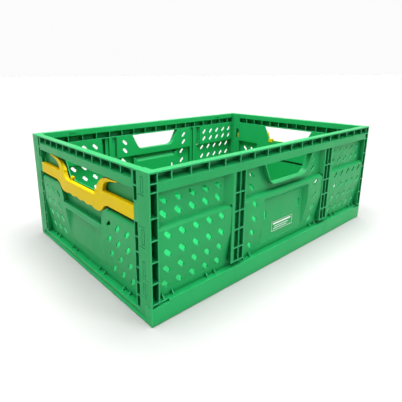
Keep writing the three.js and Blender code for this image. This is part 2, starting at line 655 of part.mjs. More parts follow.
function baseTray() {
  const halfX = LENGTH / 2 - RIM_DEPTH + 0.5;
  const halfY = WIDTH / 2 - RIM_DEPTH + 0.5;
  const ribs = [];
  for (let index = -2; index <= 2; index += 1) {
    const x = index * FLOOR_RIB_PITCH;
    ribs.push(block(x - FLOOR_RIB / 2, x + FLOOR_RIB / 2, -halfY, halfY, 0, FLOOR_BOTTOM + 1));
  }
  for (let index = -1; index <= 1; index += 1) {
    const y = index * FLOOR_RIB_PITCH;
    ribs.push(block(-halfX, halfX, y - FLOOR_RIB / 2, y + FLOOR_RIB / 2, 0, FLOOR_BOTTOM + 1));
  }
  const foot = block(-halfX, halfX, -halfY, halfY, 0, FLOOR_BOTTOM + 1)
    .subtract(block(-halfX + 14, halfX - 14, -halfY + 14, halfY - 14, -REACH, FLOOR_BOTTOM + 2));
  return unite([
    block(-halfX, halfX, -halfY, halfY, FLOOR_BOTTOM, FLOOR_TOP),
    foot,
    ...ribs,
    onSide(longRim(), 'front'),
    onSide(longRim(), 'back'),
    onSide(shortRim(), 'left'),
    onSide(shortRim(), 'right'),
  ]);
}

// ---------- materials and nodes ----------
const green = () => new THREE.MeshStandardMaterial({ color: 0x35a65c, roughness: 0.48, metalness: 0 });
const deepGreen = () => new THREE.MeshStandardMaterial({ color: 0x2f9a55, roughness: 0.5, metalness: 0 });
const yellow = () => new THREE.MeshStandardMaterial({ color: 0xe8c51e, roughness: 0.42, metalness: 0 });
const white = () => new THREE.MeshStandardMaterial({ color: 0xeef2ec, roughness: 0.55, metalness: 0 });

const crate = new THREE.Group();

function addNode(name, solid, material, side) {
  const mesh = new THREE.Mesh(toGeometry(solid), material);
  mesh.name = name;
  if (side) {
    const { turn, x, y } = SIDES[side];
    mesh.rotation.z = turn;
    mesh.position.set(x, y, 0);
  }
  crate.add(mesh);
}

addNode('base_tray', baseTray(), deepGreen());

const longWallSolid = longWall();
for (const side of ['front', 'back']) {
  addNode(`long_wall_${side}`, longWallSolid, green(), side);
}

const shortWallSolid = shortWall();
const handleSolid = latchHandle();
for (const side of ['left', 'right']) {
  addNode(`short_wall_${side}`, shortWallSolid, green(), side);
  addNode(`latch_handle_${side}`, handleSolid, yellow(), side);
  addNode(`spring_arm_${side}_a`, springArm(1), yellow(), side);
  addNode(`spring_arm_${side}_b`, springArm(-1), yellow(), side);
}

const label = block(
  LABEL_X - LABEL_LENGTH / 2, LABEL_X + LABEL_LENGTH / 2,
  BACK - GAP - LABEL_THICKNESS, BACK - GAP, LABEL_Z - LABEL_HEIGHT / 2, LABEL_Z + LABEL_HEIGHT / 2,
);
addNode('blank_label', label, white(), 'front');

export default crate;
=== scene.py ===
# Collapsible storage crate. Lengths are in millimetres until a piece is placed, where MM turns them
# into metres. Each wall is made once in a wall frame: x along it, y its depth behind the crate's
# outer face, z up.
import math

import bmesh
import bpy
from mathutils import Matrix, Vector


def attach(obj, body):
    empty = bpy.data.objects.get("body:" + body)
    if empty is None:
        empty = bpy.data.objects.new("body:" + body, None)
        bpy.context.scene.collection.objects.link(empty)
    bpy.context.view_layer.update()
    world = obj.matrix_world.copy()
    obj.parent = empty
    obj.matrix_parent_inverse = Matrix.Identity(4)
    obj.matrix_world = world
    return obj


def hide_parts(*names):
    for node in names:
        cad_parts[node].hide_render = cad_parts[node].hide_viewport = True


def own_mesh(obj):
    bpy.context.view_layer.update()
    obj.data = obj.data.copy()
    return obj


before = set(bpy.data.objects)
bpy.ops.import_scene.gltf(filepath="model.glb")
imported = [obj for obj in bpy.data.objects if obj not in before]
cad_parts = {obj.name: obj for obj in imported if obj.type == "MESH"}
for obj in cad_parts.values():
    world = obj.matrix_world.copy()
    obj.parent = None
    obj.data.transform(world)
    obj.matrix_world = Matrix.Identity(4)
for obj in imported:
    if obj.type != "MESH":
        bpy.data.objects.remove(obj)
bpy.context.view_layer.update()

MM = 0.001
LENGTH, WIDTH, HEIGHT = 600, 400, 214
SKIN = 2.2
DEPTH = 12  # of a wall, from the crate's outer face to its inner one
BACK = DEPTH - SKIN  # outer face of the vented panels
FRONT = 0.6  # outer face of the lower skin
GAP = 0.3
RIB = 0.9  # half the thickness of a thin rib
KNEE_SET = 0.9  # how much deeper the lower skin is at its knee than at the top of its face
OVER = 1  # how far a cutter runs past the face that it cuts
SMOOTH_ANGLE = math.radians(32)
SLIVER = 0.06  # edges beside faces thinner than this stay sharp
SLICE_PITCH = 33  # a long piece is cut across at this pitch, so that it shades evenly
EDGE = 0.4  # width of the green mouldings' rounded edges

# top beam
BEAM_BOTTOM = 187
BAND_TOP = 199.5
WEB_BACK_TOP = 204.5
FLANGE_BOTTOM = HEIGHT - 2.4
LONG_POCKETS, SHORT_POCKETS = (33, 8), (27, 5)  # ribs' pitch, and how many to each side
TAB_INNER, TAB_OUTER, TAB_BACK = 213, 228, DEPTH + 1.4

# long walls
PANEL_END = 288
LONG_LEDGE, LONG_KNEE, LONG_TOE, LONG_BOTTOM = 139, 92, 42, 31.6
POST, CHANNEL, STRIP, POST_BOTTOM = 130.5, 9.6, 6, 39
POST_OUT, POST_IN = POST + CHANNEL + 1, POST - CHANNEL - 1
POST_FAR, POST_NEAR = POST_OUT + STRIP, POST_IN - STRIP / 2  # the post's edges, strips and all
POST_RIBS = (63, 94, 124, 154)
POST_PLATE = 6.4  # depth of the plate between the outer pockets and the inner grooves
GROOVES, GROOVE_BOTTOM = ((POST - 16, POST - 3.8), (POST + 3.8, POST + 22)), 66
POST_END = 1.1  # depth of the lower skin's face where it meets a slot post
END_SLANT, END_DROP = 6, 2  # length of the slant there, and how much lower the ledge ends
LONG_COLUMNS = (92, 169.5, 195, 220.5, 246, 271)
LONG_ROWS = (50.5, 75, 100, 125.5, 152, 171.5)
FIELD_HALF, FIELD_TOP, FIELD_TOP_BACK = 67, 128, 118
CLIP_SLOT_INNER, CLIP_SLOT_OUTER, CLIP_SLOT_BOTTOM, CLIP_SLOT_TOP = 48.5, 53.5, 86, 100

# corner posts
RETURN, FACE_END, POST_FOOT = 36, 26, 15
BLOCK_DEPTH, BLOCK_HEIGHT = 14, 27
COLUMN_RIBS = (63, 94, 124, 154, 187.5, 199)
CHANNEL_RIBS = (34, 53.5, 76.5, 99.5, 121.5, 143.5, 171, 192)
STRIKE_BOTTOM, STRIKE_TOP = 143.5, 171
FRAMES = ((184.5, 207), (114, 137), (69, 92), (40, 60))  # bottom and top of each grooved frame
FRAME_NEAR, FRAME_FAR, FRAME_LINE = 12.5, 18.7, 1.2
STEPS = (182, 139, 110.5, 65, 36.5)  # heights of the single grooves

# short walls
SHORT_HALF = WIDTH / 2 - RETURN - 0.5
SHORT_LEDGE, SHORT_KNEE, SHORT_TOE, SHORT_BOTTOM = 138, 88, 26, 15
SHORT_COLUMNS = (92, 117.5, 143)
SHORT_ROWS = (39, 65, 90, 114)
SHORT_FIELD_HALF, SHORT_FIELD_BOTTOM, SHORT_FIELD_TOP, SHORT_FIELD_DEPTH = 64, 38, 95, 8.2
POCKET_HALF, SHELF_TOP = 70, 105
# How far out the pocket's edge is at each height, following the handle's bend.
POCKET_EDGE = (
    (0, SHELF_TOP), (0.6, 112), (2, 118), (4.6, 124), (8, 129), (12, 133), (16, 135.5), (20, 137),
)
POCKET_BEND = 24

# hand hole
HOLE_TOP_HALF, HOLE_BOTTOM_HALF, HOLE_BOTTOM, HOLE_ROUND = 70, 51, 151, 9

# latch handle
BAR_FRONT, BAR_BACK, BAR_BOTTOM, BAR_TOP = 0.5, 9.3, 142, 162
GRIP_BOTTOM, GRIP_TOP = 126, 150
BOSS_INNER, BOSS_OUTER, BOSS_TOP = 65, 73, 160
HOOK, HOOK_HEAD, HOOK_HEAD_DEPTHS = (42, 46.5), (42, 54), (DEPTH + GAP, DEPTH + 1.8)
HOOK_BOTTOM, HOOK_TOP, HOOK_HEAD_BOTTOM = 152.3, 155.4, 146
TONGUE_END, TONGUE_DEPTHS, TONGUE_BOTTOM, TONGUE_TOP = SHORT_HALF + 6.5, (4, 8.4), 145.5, 157

# base tray
LONG_RIM, SHORT_RIM, RIM_DEPTH = 31, 14, 11
FLOOR_BOTTOM, FLOOR_TOP = 3, 5.5
AXIS_DEPTH, LONG_AXIS, SHORT_AXIS = 17, 37, 15
LONG_HINGES, SHORT_HINGES = (105, 188, 271), (55, 130)
# Lugs and gussets start at these distances from the middle of a hinge.
LUGS, LUG_WIDTH, LUG_RADIUS, LUG_HOLE = (6.8, -9.3), 2.5, 4.2, 2.4
GUSSETS, LONG_GUSSET, SHORT_GUSSET = (-11.5, 5.5), 7, 6
KNUCKLE_HALF, PIN_HALF, PIN_RADIUS = 6.3, 9.8, 2
NOTCH_INNER, NOTCH_DEPTH = 270, 3.2
SEAM, SEAM_DEPTH = (137.7, 138.2), 0.35
FOOT_WIDTH = 14
RIB_PITCH, RIB_HALF = 96, 1.2  # under the floor
LINE_PITCH, LINE_HALF, LINE_DEPTH, LINE_X, LINE_Y = 48, 0.5, 0.4, 270, 170

# label
LABEL_HALF, LABEL_BOTTOM, LABEL_TOP, LABEL_FRAME = 31.5, 56, 74, 0.5
LABEL_THICK, LABEL_PRINT = 0.3, 0.2
LABEL_BARS = ((-27, 26, 68.4, 71), (-23, 19, 63.8, 64.8), (-26, 15, 59.8, 60.8))


# ---------- solids ----------
def loft(first, last, axis, lo, hi):
    """A closed solid from one outline at lo to another with as many points at hi, along axis.
    Points are (depth, height) for x, (x, height) for y and (x, depth) for z."""
    place = {
        "x": lambda p, t: (t, p[0], p[1]),
        "y": lambda p, t: (p[0], t, p[1]),
        "z": lambda p, t: (p[0], p[1], t),
    }[axis]
    bm = bmesh.new()
    a = [bm.verts.new(place(p, lo)) for p in first]
    b = [bm.verts.new(place(p, hi)) for p in last]
    bm.faces.new(a)
    bm.faces.new(b[::-1])
    for i in range(len(a)):
        j = (i + 1) % len(a)
        bm.faces.new((a[i], b[i], b[j], a[j]))
    bmesh.ops.recalc_face_normals(bm, faces=bm.faces)
    mesh = bpy.data.meshes.new("solid")
    bm.to_mesh(mesh)
    bm.free()
    made = bpy.data.objects.new("solid", mesh)
    bpy.context.scene.collection.objects.link(made)
    return made


def prism(points, axis, lo, hi):
    return loft(points, points, axis, lo, hi)


def block(x0, x1, y0, y1, z0, z1):
    x0, x1 = min(x0, x1), max(x0, x1)
    return prism([(x0, z0), (x1, z0), (x1, z1), (x0, z1)], "y", y0, y1)


def half_block(sign, x0, x1, y0, y1, z0, z1):
    """A block on the right half for sign 1 or the left for -1, x0 to x1 from the middle."""
    return block(sign * x0, sign * x1, y0, y1, z0, z1)


def rod(radius, x0, x1, depth, height, sides=20):
    ring = [2 * math.pi * i / sides for i in range(sides)]
    points = [(depth + radius * math.cos(a), height + radius * math.sin(a)) for a in ring]
    return prism(points, "x", x0, x1)


def combine(base, others, operation):
    hold = bpy.data.collections.new("hold")
    bpy.context.scene.collection.children.link(hold)
    for other in others:
        bpy.context.scene.collection.objects.unlink(other)
        hold.objects.link(other)
    step = base.modifiers.new("step", "BOOLEAN")
    step.operand_type = "COLLECTION"
    step.collection = hold
    step.operation = operation
    step.solver = "MANIFOLD"
    apply_modifiers(base)
    for other in others:
        bpy.data.objects.remove(other)
    bpy.data.collections.remove(hold)
    return base


def apply_modifiers(piece):
    graph = bpy.context.evaluated_depsgraph_get()
    mesh = bpy.data.meshes.new_from_object(piece.evaluated_get(graph))
    piece.modifiers.clear()
    piece.data = mesh


def unite(solids):
    return combine(solids[0], solids[1:], "UNION")


def cut(base, solids):
    return combine(base, solids, "DIFFERENCE")


def both(build):
    """The solids that build(sign) lists, for the right half and then the left."""
    return [*build(1), *build(-1)]


def flipped(points, sign):
    return [(sign * x, z) for x, z in points]


def face_height(face):
    return 2 * face.calc_area() / max(edge.calc_length() for edge in face.edges)


def slice_across(bm, axis, low, high):
    """Even cuts across a long piece, so that no face is so long and thin that it shades badly."""
    normal = [float(i == axis) for i in range(3)]
    for step in range(math.ceil(low / SLICE_PITCH), math.floor(high / SLICE_PITCH) + 1):
        point = [SLICE_PITCH * (step + 0.5) * i for i in normal]
        bmesh.ops.bisect_plane(
            bm, geom=[*bm.verts, *bm.edges, *bm.faces], dist=0.01, plane_co=point, plane_no=normal
        )


def round_edges(piece, width, segments=2, angle=30):
    """Rounds every edge sharper than angle, as a mould does, and stays in the piece's box."""
    low = [min(corner[i] for corner in piece.bound_box) for i in range(3)]
    high = [max(corner[i] for corner in piece.bound_box) for i in range(3)]
    bm = bmesh.new()
    bm.from_mesh(piece.data)
    bmesh.ops.remove_doubles(bm, verts=bm.verts, dist=0.02)
    bmesh.ops.dissolve_degenerate(bm, edges=bm.edges, dist=0.02)
    bmesh.ops.dissolve_limit(bm, angle_limit=math.radians(0.5), verts=bm.verts, edges=bm.edges)
    for axis in range(3):
        if high[axis] - low[axis] > 60:
            slice_across(bm, axis, low[axis], high[axis])
    bmesh.ops.triangulate(bm, faces=[face for face in bm.faces if len(face.verts) > 4])
    weight = bm.edges.layers.float.new("bevel_weight_edge")
    for edge in bm.edges:
        sharp = len(edge.link_faces) == 2 and edge.calc_face_angle(0) > math.radians(angle)
        edge[weight] = float(sharp and min(map(face_height, edge.link_faces)) > SLIVER)
    bm.to_mesh(piece.data)
    bm.free()
    step = piece.modifiers.new("edges", "BEVEL")
    step.width = width
    step.segments = segments
    step.limit_method = "WEIGHT"
    step.use_clamp_overlap = False
    step.miter_outer = "MITER_ARC"
    apply_modifiers(piece)
    for vertex in piece.data.vertices:
        vertex.co = [min(max(vertex.co[i], low[i]), high[i]) for i in range(3)]


# The turn and place of each side's wall frame.
SIDES = {
    "whole": (0, 0, 0),  # for a piece made in the crate's own frame
    "front": (0, 0, -WIDTH / 2),
    "back": (math.pi, 0, WIDTH / 2),
    "left": (-math.pi / 2, -LENGTH / 2, 0),
    "right": (math.pi / 2, LENGTH / 2, 0),
}


def side_matrix(side):
    turn, x, y = SIDES[side]
    return Matrix.Translation((x, y, 0)) @ Matrix.Rotation(turn, 4, "Z")


def placed(source, name, side, body, slot, *nodes):
    """A copy of source on one side of the crate, riding on body and standing for the CAD nodes."""
    mesh = source.data.copy()
    mesh.transform(Matrix.Scale(MM, 4) @ side_matrix(side))
    piece = bpy.data.objects.new(name, mesh)
    bpy.context.scene.collection.objects.link(piece)
    mesh.materials.clear()
    mesh.materials.append(LOOKS[slot])
    mesh.shade_smooth()
    mesh.set_sharp_from_angle(angle=SMOOTH_ANGLE)
    flat = piece.modifiers.new("flat", "WEIGHTED_NORMAL")
    flat.keep_sharp = True
    apply_modifiers(piece)
    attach(piece, body)
    if nodes:
        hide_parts(*nodes)
    return piece


# ---------- outlines ----------
def beam_outline():
    """Upright band, a web sloping inwards and a flange on top."""
    return [
        (0, BEAM_BOTTOM), (DEPTH, BEAM_BOTTOM), (DEPTH, BEAM_BOTTOM + SKIN),
        (SKIN, BEAM_BOTTOM + SKIN), (SKIN, BAND_TOP - SKIN), (DEPTH, WEB_BACK_TOP - SKIN),
        (DEPTH, HEIGHT), (0, HEIGHT),
        (0, FLANGE_BOTTOM), (BACK, FLANGE_BOTTOM), (BACK, WEB_BACK_TOP), (0, BAND_TOP),
    ]


def bulge_outline(ledge, knee, toe, bottom, face=FRONT, drop=0):
    """The lower skin's solid section: ledge, upright face, then a slope back to the toe."""
    top = ledge - drop
    return [
        (BACK, top), (face + 5, top - 1), (face + 2, top - 2.6), (face, top - 5.6),
        (face + KNEE_SET, knee), (BACK, toe), (BACK, bottom), (DEPTH, bottom), (DEPTH, top),
    ]


def bulge_core(ledge, knee, toe, _bottom, face=FRONT, drop=0):
    """What the lower skin leaves open behind it."""
    top = ledge - drop
    return [
        (BACK, top - SKIN), (face + 3 + SKIN, top - 2.8), (face + SKIN, top - 7),
        (face + KNEE_SET + SKIN, knee),
        (DEPTH, toe), (DEPTH + OVER, toe), (DEPTH + OVER, top - SKIN),
    ]


def slot_outline(x, z, sign):
    """A slanted slot with round ends."""
    slant, half, radius = sign * math.pi / 4, 4.4, 3.1
    points = []
    for end in (0, 1):
        along = half if end == 0 else -half
        for step in range(8):
            angle = slant - math.pi / 2 + end * math.pi + step / 7 * math.pi
            points.append((
                x + along * math.cos(slant) + radius * math.cos(angle),
                z + along * math.sin(slant) + radius * math.sin(angle),
            ))
    return points


def vent_slots(columns, rows):
    return both(lambda sign: [
        prism(slot_outline(sign * x, z, sign), "y", -OVER, DEPTH + OVER)
        for x in columns for z in rows
    ])


def hole_outline(margin, top):
    """Trapezium with rounded lower corners, grown outwards by margin."""
    slope = (HOLE_TOP_HALF - HOLE_BOTTOM_HALF) / (BEAM_BOTTOM - HOLE_BOTTOM)
    bottom, radius = HOLE_BOTTOM - margin, HOLE_ROUND + margin
    side = []
    for step in range(7):
        angle = step / 6 * math.pi / 2
        z = bottom + radius * (1 - math.cos(angle))
        half = HOLE_BOTTOM_HALF + margin + slope * (z - HOLE_BOTTOM)
        side.append((half - radius * (1 - math.sin(angle)), z))
    side.append((HOLE_BOTTOM_HALF + margin + slope * (top - HOLE_BOTTOM), top))
    return side + [(-x, z) for x, z in side[::-1]]


def pocket_ribs(pitch, count):
    """The beam's upright ribs, count of them to each side of the middle one."""
    section = [
        (0.5, BEAM_BOTTOM + 1), (DEPTH, BEAM_BOTTOM + 1), (DEPTH, HEIGHT - 1), (0.5, HEIGHT - 1),
    ]
    return [prism(section, "x", i * pitch - RIB, i * pitch + RIB) for i in range(-count, count + 1)]


def hinge_lugs(x, axis):
    """The tray's two lugs at one hinge, each with a hole for the pin."""
    radius = LUG_RADIUS
    foot = min(axis - radius, LONG_RIM - 1)
    section = [(RIM_DEPTH - 1, FLOOR_BOTTOM), (AXIS_DEPTH + radius, FLOOR_BOTTOM)]
    for step in range(7):
        angle = step / 6 * math.pi
        section.append((AXIS_DEPTH + radius * math.cos(angle), axis + radius * math.sin(angle)))
    section += [(AXIS_DEPTH - radius, foot), (RIM_DEPTH - 1, foot)]
    lugs = [prism(section, "x", x + start, x + start + LUG_WIDTH) for start in LUGS]
    half = PIN_HALF + 1.2
    return [cut(lug, [rod(LUG_HOLE, x - half, x + half, AXIS_DEPTH, axis)]) for lug in lugs]


def hinge_knuckle(x, axis):
    """A wall's knuckle at one hinge, with its pin."""
    section = [
        (DEPTH - 1, axis + 0.2), (AXIS_DEPTH - 3.5, axis - 0.5), (AXIS_DEPTH - 2, axis - 3),
        (AXIS_DEPTH + 3, axis - 3), (AXIS_DEPTH + 3, axis + 3), (DEPTH - 1, axis + 3),
    ]
    return [
        prism(section, "x", x - KNUCKLE_HALF, x + KNUCKLE_HALF),
        rod(PIN_RADIUS, x - PIN_HALF, x + PIN_HALF, AXIS_DEPTH, axis, 16),
    ]


def knuckles(hinges, axis):
    return both(lambda sign: sum((hinge_knuckle(sign * x, axis) for x in hinges), []))


def gusset(x, foot, rise):
    """A small upright web on the rim."""
    near, far, half = 3.4, 9, 0.8
    section = [
        (near, foot - 1), (far, foot - 1), (far, foot + rise), (far - 1, foot + rise),
        (near, foot + 0.8),
    ]
    return prism(section, "x", x - half, x + half)


# ---------- long wall ----------
def slot_post(sign):
    """Two ribbed channels side by side, between a vented panel and the middle panel."""
    def strip(x0, x1, y0, y1, z0=POST_BOTTOM, z1=BEAM_BOTTOM + 1):
        return half_block(sign, x0, x1, y0, y1, z0, z1)

    solids = [
        strip(POST_OUT, POST_FAR, 0, SKIN),
        strip(POST_NEAR, POST_IN, 0, SKIN),
        strip(POST_IN, POST_OUT, POST_PLATE, POST_PLATE + SKIN),
        strip(POST - 1, POST + 1, 0, DEPTH),
        strip(POST_OUT, POST_OUT + 2, 0, DEPTH),
        strip(POST_IN - 2, POST_IN, 0, DEPTH),
    ]
    return solids + [
        strip(POST_IN, POST_OUT, FRONT / 2, POST_PLATE + SKIN, z - 1, z + 1)
        for z in (POST_BOTTOM + 1, *POST_RIBS)
    ]


def inner_grooves(sign):
    """The two grooves that a slot post shows on the inside of the wall."""
    return [
        half_block(sign, x0, x1, POST_PLATE + SKIN, DEPTH + OVER, GROOVE_BOTTOM, BEAM_BOTTOM)
        for x0, x1 in GROOVES
    ]


def recess_sides(sign):
    """The upper recess's slanted ends, beside the post."""
    def side(edge, out, run, back_run):
        """A skin that slants from the post's edge to the recess's back, run further along."""
        points = [
            (-2, 0), (0, 0), (run, BACK + 0.2), (run, DEPTH), (back_run, DEPTH), (-2, 2.4),
        ]
        section = [(sign * (edge + out * x), y) for x, y in points]
        return prism(section, "z", LONG_LEDGE - 1.5, BEAM_BOTTOM + 1)

    return [side(POST_FAR, 1, 11, 8), side(POST_NEAR, -1, 5, 2.5)]


def bulge(lower, start, end, start_face, end_face, maker):
    """The lower skin or its core from start to end. A face deeper than FRONT slants that end."""
    a = start + END_SLANT if start_face > FRONT else start
    b = end - END_SLANT if end_face > FRONT else end
    solids = [prism(maker(*lower), "x", a, b)]
    if start_face > FRONT:
        solids.append(loft(maker(*lower, start_face, END_DROP), maker(*lower), "x", start, a))
    if end_face > FRONT:
        solids.append(loft(maker(*lower), maker(*lower, end_face, END_DROP), "x", b, end))
    return unite(solids)


def corner_post(sign):
    """Face plate, ribbed front column and ribbed latch channel at one end of a long wall."""
    half, inner = LENGTH / 2, LENGTH / 2 - DEPTH
    start, end = FACE_END + 1.5, RETURN - 1.7

    def bar(*sizes):
        return half_block(sign, *sizes)

    solids = [
        bar(half - SKIN, half, 0, FACE_END, BLOCK_HEIGHT + GAP, HEIGHT),
        bar(half - SKIN, half, BLOCK_DEPTH + GAP, start, POST_FOOT, HEIGHT),
        bar(inner, half, 0, RETURN, FLANGE_BOTTOM, HEIGHT),
        bar(inner - 2, inner, 0, start, LONG_BOTTOM, HEIGHT),
        bar(inner, half, FACE_END, start, POST_FOOT, HEIGHT),
        bar(inner, half, end, RETURN, POST_FOOT, STRIKE_BOTTOM),
        bar(inner, half, end, RETURN, STRIKE_TOP, HEIGHT),
        bar(inner, inner + 2, start, RETURN, POST_FOOT, STRIKE_BOTTOM),
        bar(inner, inner + 2, start, RETURN, STRIKE_TOP, HEIGHT),
        bar(half - 2.6, half - 0.8, start, RETURN, STRIKE_BOTTOM, STRIKE_TOP),
        bar(inner, half, start, RETURN, POST_FOOT, POST_FOOT + 2),
        bar(inner, half, 0, start, LONG_BOTTOM, LONG_BOTTOM + 2),
    ]
    solids += [
        bar(inner, half - GAP, GAP, FACE_END + 1, z - RIB, z + RIB) for z in COLUMN_RIBS
    ]
    solids += [
        bar(inner, half - GAP, start - 0.5, RETURN, z - RIB, z + RIB) for z in CHANNEL_RIBS
    ]
    return solids


def post_grooves(sign):
    """Shallow frames and steps moulded into the post's face on the short side."""
    half = LENGTH / 2

    def groove(y0, y1, z0, z1, deep=1.1):
        return half_block(sign, half - deep, half + OVER, y0, y1, z0, z1)

    cuts = []
    for low, high in FRAMES:
        for y in (FRAME_NEAR, FRAME_FAR - FRAME_LINE):
            cuts.append(groove(y, y + FRAME_LINE, low, high))
        for z in (low, high - FRAME_LINE):
            cuts.append(groove(FRAME_NEAR, FRAME_FAR, z, z + FRAME_LINE))
    cuts += [groove(11, 24.5, z, z + FRAME_LINE) for z in STEPS]
    cuts += [groove(8.4, 9.6, 44 + 5 * step, 46.5 + 5 * step) for step in range(5)]
    cuts.append(groove(10.5, 13, 29, 31, 1.6))
    return cuts


def field_sides(half, width, run, face, flat, back, depth, bottom, knee, top):
    """Both slanted sides of a sunk field. Their skin runs from the face to the field's back, and
    flattens out from the knee down to the bottom."""
    def plan(start):
        return [
            (half, start), (half + width, start), (half + width, depth),
            (half - run - 1, depth), (half - run - 1, back), (half - run, back),
        ]

    return both(lambda sign: [
        loft(flipped(plan(flat), sign), flipped(plan(face), sign), "z", bottom, knee),
        prism(flipped(plan(face), sign), "z", knee, top),
    ])


def long_wall():
    lower = (LONG_LEDGE, LONG_KNEE, LONG_TOE, LONG_BOTTOM)
    spans = (
        (POST_FAR - 1, PANEL_END, POST_END, FRONT),
        (-POST_NEAR, POST_NEAR, POST_END, POST_END),
        (-PANEL_END, 1 - POST_FAR, FRONT, POST_END),
    )
    end_section = [
        (FRONT + 0.3, LONG_LEDGE - 1), (FRONT + 1.2, LONG_KNEE), (BACK, LONG_TOE),
        (DEPTH, LONG_TOE), (DEPTH, LONG_LEDGE - 1),
    ]
    wall = unite([bulge(lower, *span, bulge_outline) for span in spans])
    cut(wall, [bulge(lower, *span, bulge_core) for span in spans])
    unite([
        wall,
        prism(beam_outline(), "x", 1 - PANEL_END, PANEL_END - 1),
        block(-PANEL_END, PANEL_END, BACK, DEPTH, LONG_LEDGE - SKIN, BEAM_BOTTOM + 1),
        block(-PANEL_END, PANEL_END, BACK, DEPTH, LONG_BOTTOM, LONG_TOE + 0.5),
        *both(lambda sign: [
            half_block(sign, POST_NEAR - 1, POST_FAR + 1, BACK, DEPTH, LONG_BOTTOM, BEAM_BOTTOM),
            prism(end_section, "x", *sorted((sign * (PANEL_END - 2), sign * PANEL_END))),
        ]),
        *both(slot_post), *both(recess_sides), *both(corner_post),
        *pocket_ribs(*LONG_POCKETS),
        *both(lambda sign: [
            half_block(sign, TAB_INNER, TAB_OUTER, DEPTH - 1, TAB_BACK, HEIGHT - 6, HEIGHT)
        ]),
        *knuckles(LONG_HINGES, LONG_AXIS),
    ])
    cut(wall, [
        block(-FIELD_HALF, FIELD_HALF, -OVER, DEPTH + OVER, LONG_TOE + 1, FIELD_TOP),
        *both(inner_grooves),
    ])
    side = bulge_outline(FIELD_TOP + SKIN + 1, LONG_KNEE, LONG_TOE, LONG_TOE - 1)
    lintel = [
        (FRONT + 0.2, FIELD_TOP), (BACK, FIELD_TOP_BACK), (DEPTH, FIELD_TOP_BACK),
        (DEPTH, FIELD_TOP_BACK + SKIN), (FRONT + SKIN, FIELD_TOP + SKIN),
        (FRONT + 0.2, FIELD_TOP + SKIN),
    ]
    unite([
        wall,
        block(-FIELD_HALF - 1, FIELD_HALF + 1, BACK, DEPTH, LONG_TOE, FIELD_TOP_BACK + 1),
        prism(lintel, "x", -FIELD_HALF, FIELD_HALF),
        prism(side, "x", FIELD_HALF, FIELD_HALF + 2),
        prism(side, "x", -FIELD_HALF - 2, -FIELD_HALF),
        *field_sides(
            FIELD_HALF, 2, 6, 0.7, BACK, BACK, DEPTH, LONG_TOE, LONG_KNEE + 4, FIELD_TOP + 1
        ),
        prism(hole_outline(SKIN, BEAM_BOTTOM + 1), "y", 0, DEPTH),
    ])
    return cut(wall, [
        prism(hole_outline(0, BEAM_BOTTOM), "y", -OVER, DEPTH + OVER),
        *vent_slots(LONG_COLUMNS, LONG_ROWS),
        *both(lambda sign: [half_block(
            sign, CLIP_SLOT_INNER, CLIP_SLOT_OUTER, -OVER, DEPTH + OVER,
            CLIP_SLOT_BOTTOM, CLIP_SLOT_TOP,
        )]),
        *both(post_grooves),
    ])


# ---------- short wall ----------
def finger_pocket(wall):
    """Sinks a pocket into the wall under the handle, its edge following the handle's bend."""
    edge = [(POCKET_HALF + out, z) for out, z in POCKET_EDGE]
    rim = [(x + 1.7, z - 1.7) for x, z in edge]
    bend = POCKET_HALF + POCKET_BEND
    opening = [(0, SHORT_LEDGE + 1), (0, SHELF_TOP), *edge, (bend, SHORT_LEDGE + 1)]
    side = [*edge, (bend, SHORT_LEDGE), (bend, SHORT_LEDGE - 2), *rim[::-1]]
    shelf = [
        (FRONT, SHELF_TOP - 1.2), (FRONT + 1, SHELF_TOP), (DEPTH, SHELF_TOP),
        (DEPTH, SHELF_TOP - SKIN), (FRONT, SHELF_TOP - SKIN),
    ]
    cut(wall, both(lambda sign: [prism(flipped(opening, sign), "y", -OVER, BACK)]))
    unite([
        wall,
        block(-bend, bend, BACK, DEPTH, SHELF_TOP - 1, SHORT_LEDGE),
        prism(shelf, "x", -POCKET_HALF - 1, POCKET_HALF + 1),
        *both(lambda sign: [prism(flipped(side, sign), "y", FRONT + 0.4, DEPTH)]),
    ])


def sunk_field(wall):
    """Sinks the plain field into the wall below the pocket."""
    half, back = SHORT_FIELD_HALF, SHORT_FIELD_DEPTH
    bottom, top = SHORT_FIELD_BOTTOM, SHORT_FIELD_TOP
    inner = DEPTH - 1
    side = [
        (FRONT, top + 2), (FRONT + KNEE_SET, SHORT_KNEE), (back + 0.4, bottom - 1),
        (inner, bottom - 1), (inner, top + 2),
    ]
    lintel = [
        (FRONT, top), (FRONT, top + 2), (back + SKIN, top + 2), (back + SKIN, top - 4),
        (back, top - 4), (FRONT + 1.6, top),
    ]
    cut(wall, [block(-half, half, -OVER, DEPTH + OVER, bottom, top)])
    unite([
        wall,
        block(-half - 1, half + 1, back, back + SKIN, bottom - 2, top + 1),
        prism(lintel, "x", -half, half),
        prism(side, "x", half, half + 2),
        prism(side, "x", -half - 2, -half),
        *field_sides(
            half, 1.5, 5, 0.9, back + 0.2, back + 0.1, inner, bottom, SHORT_KNEE, top + 1
        ),
    ])


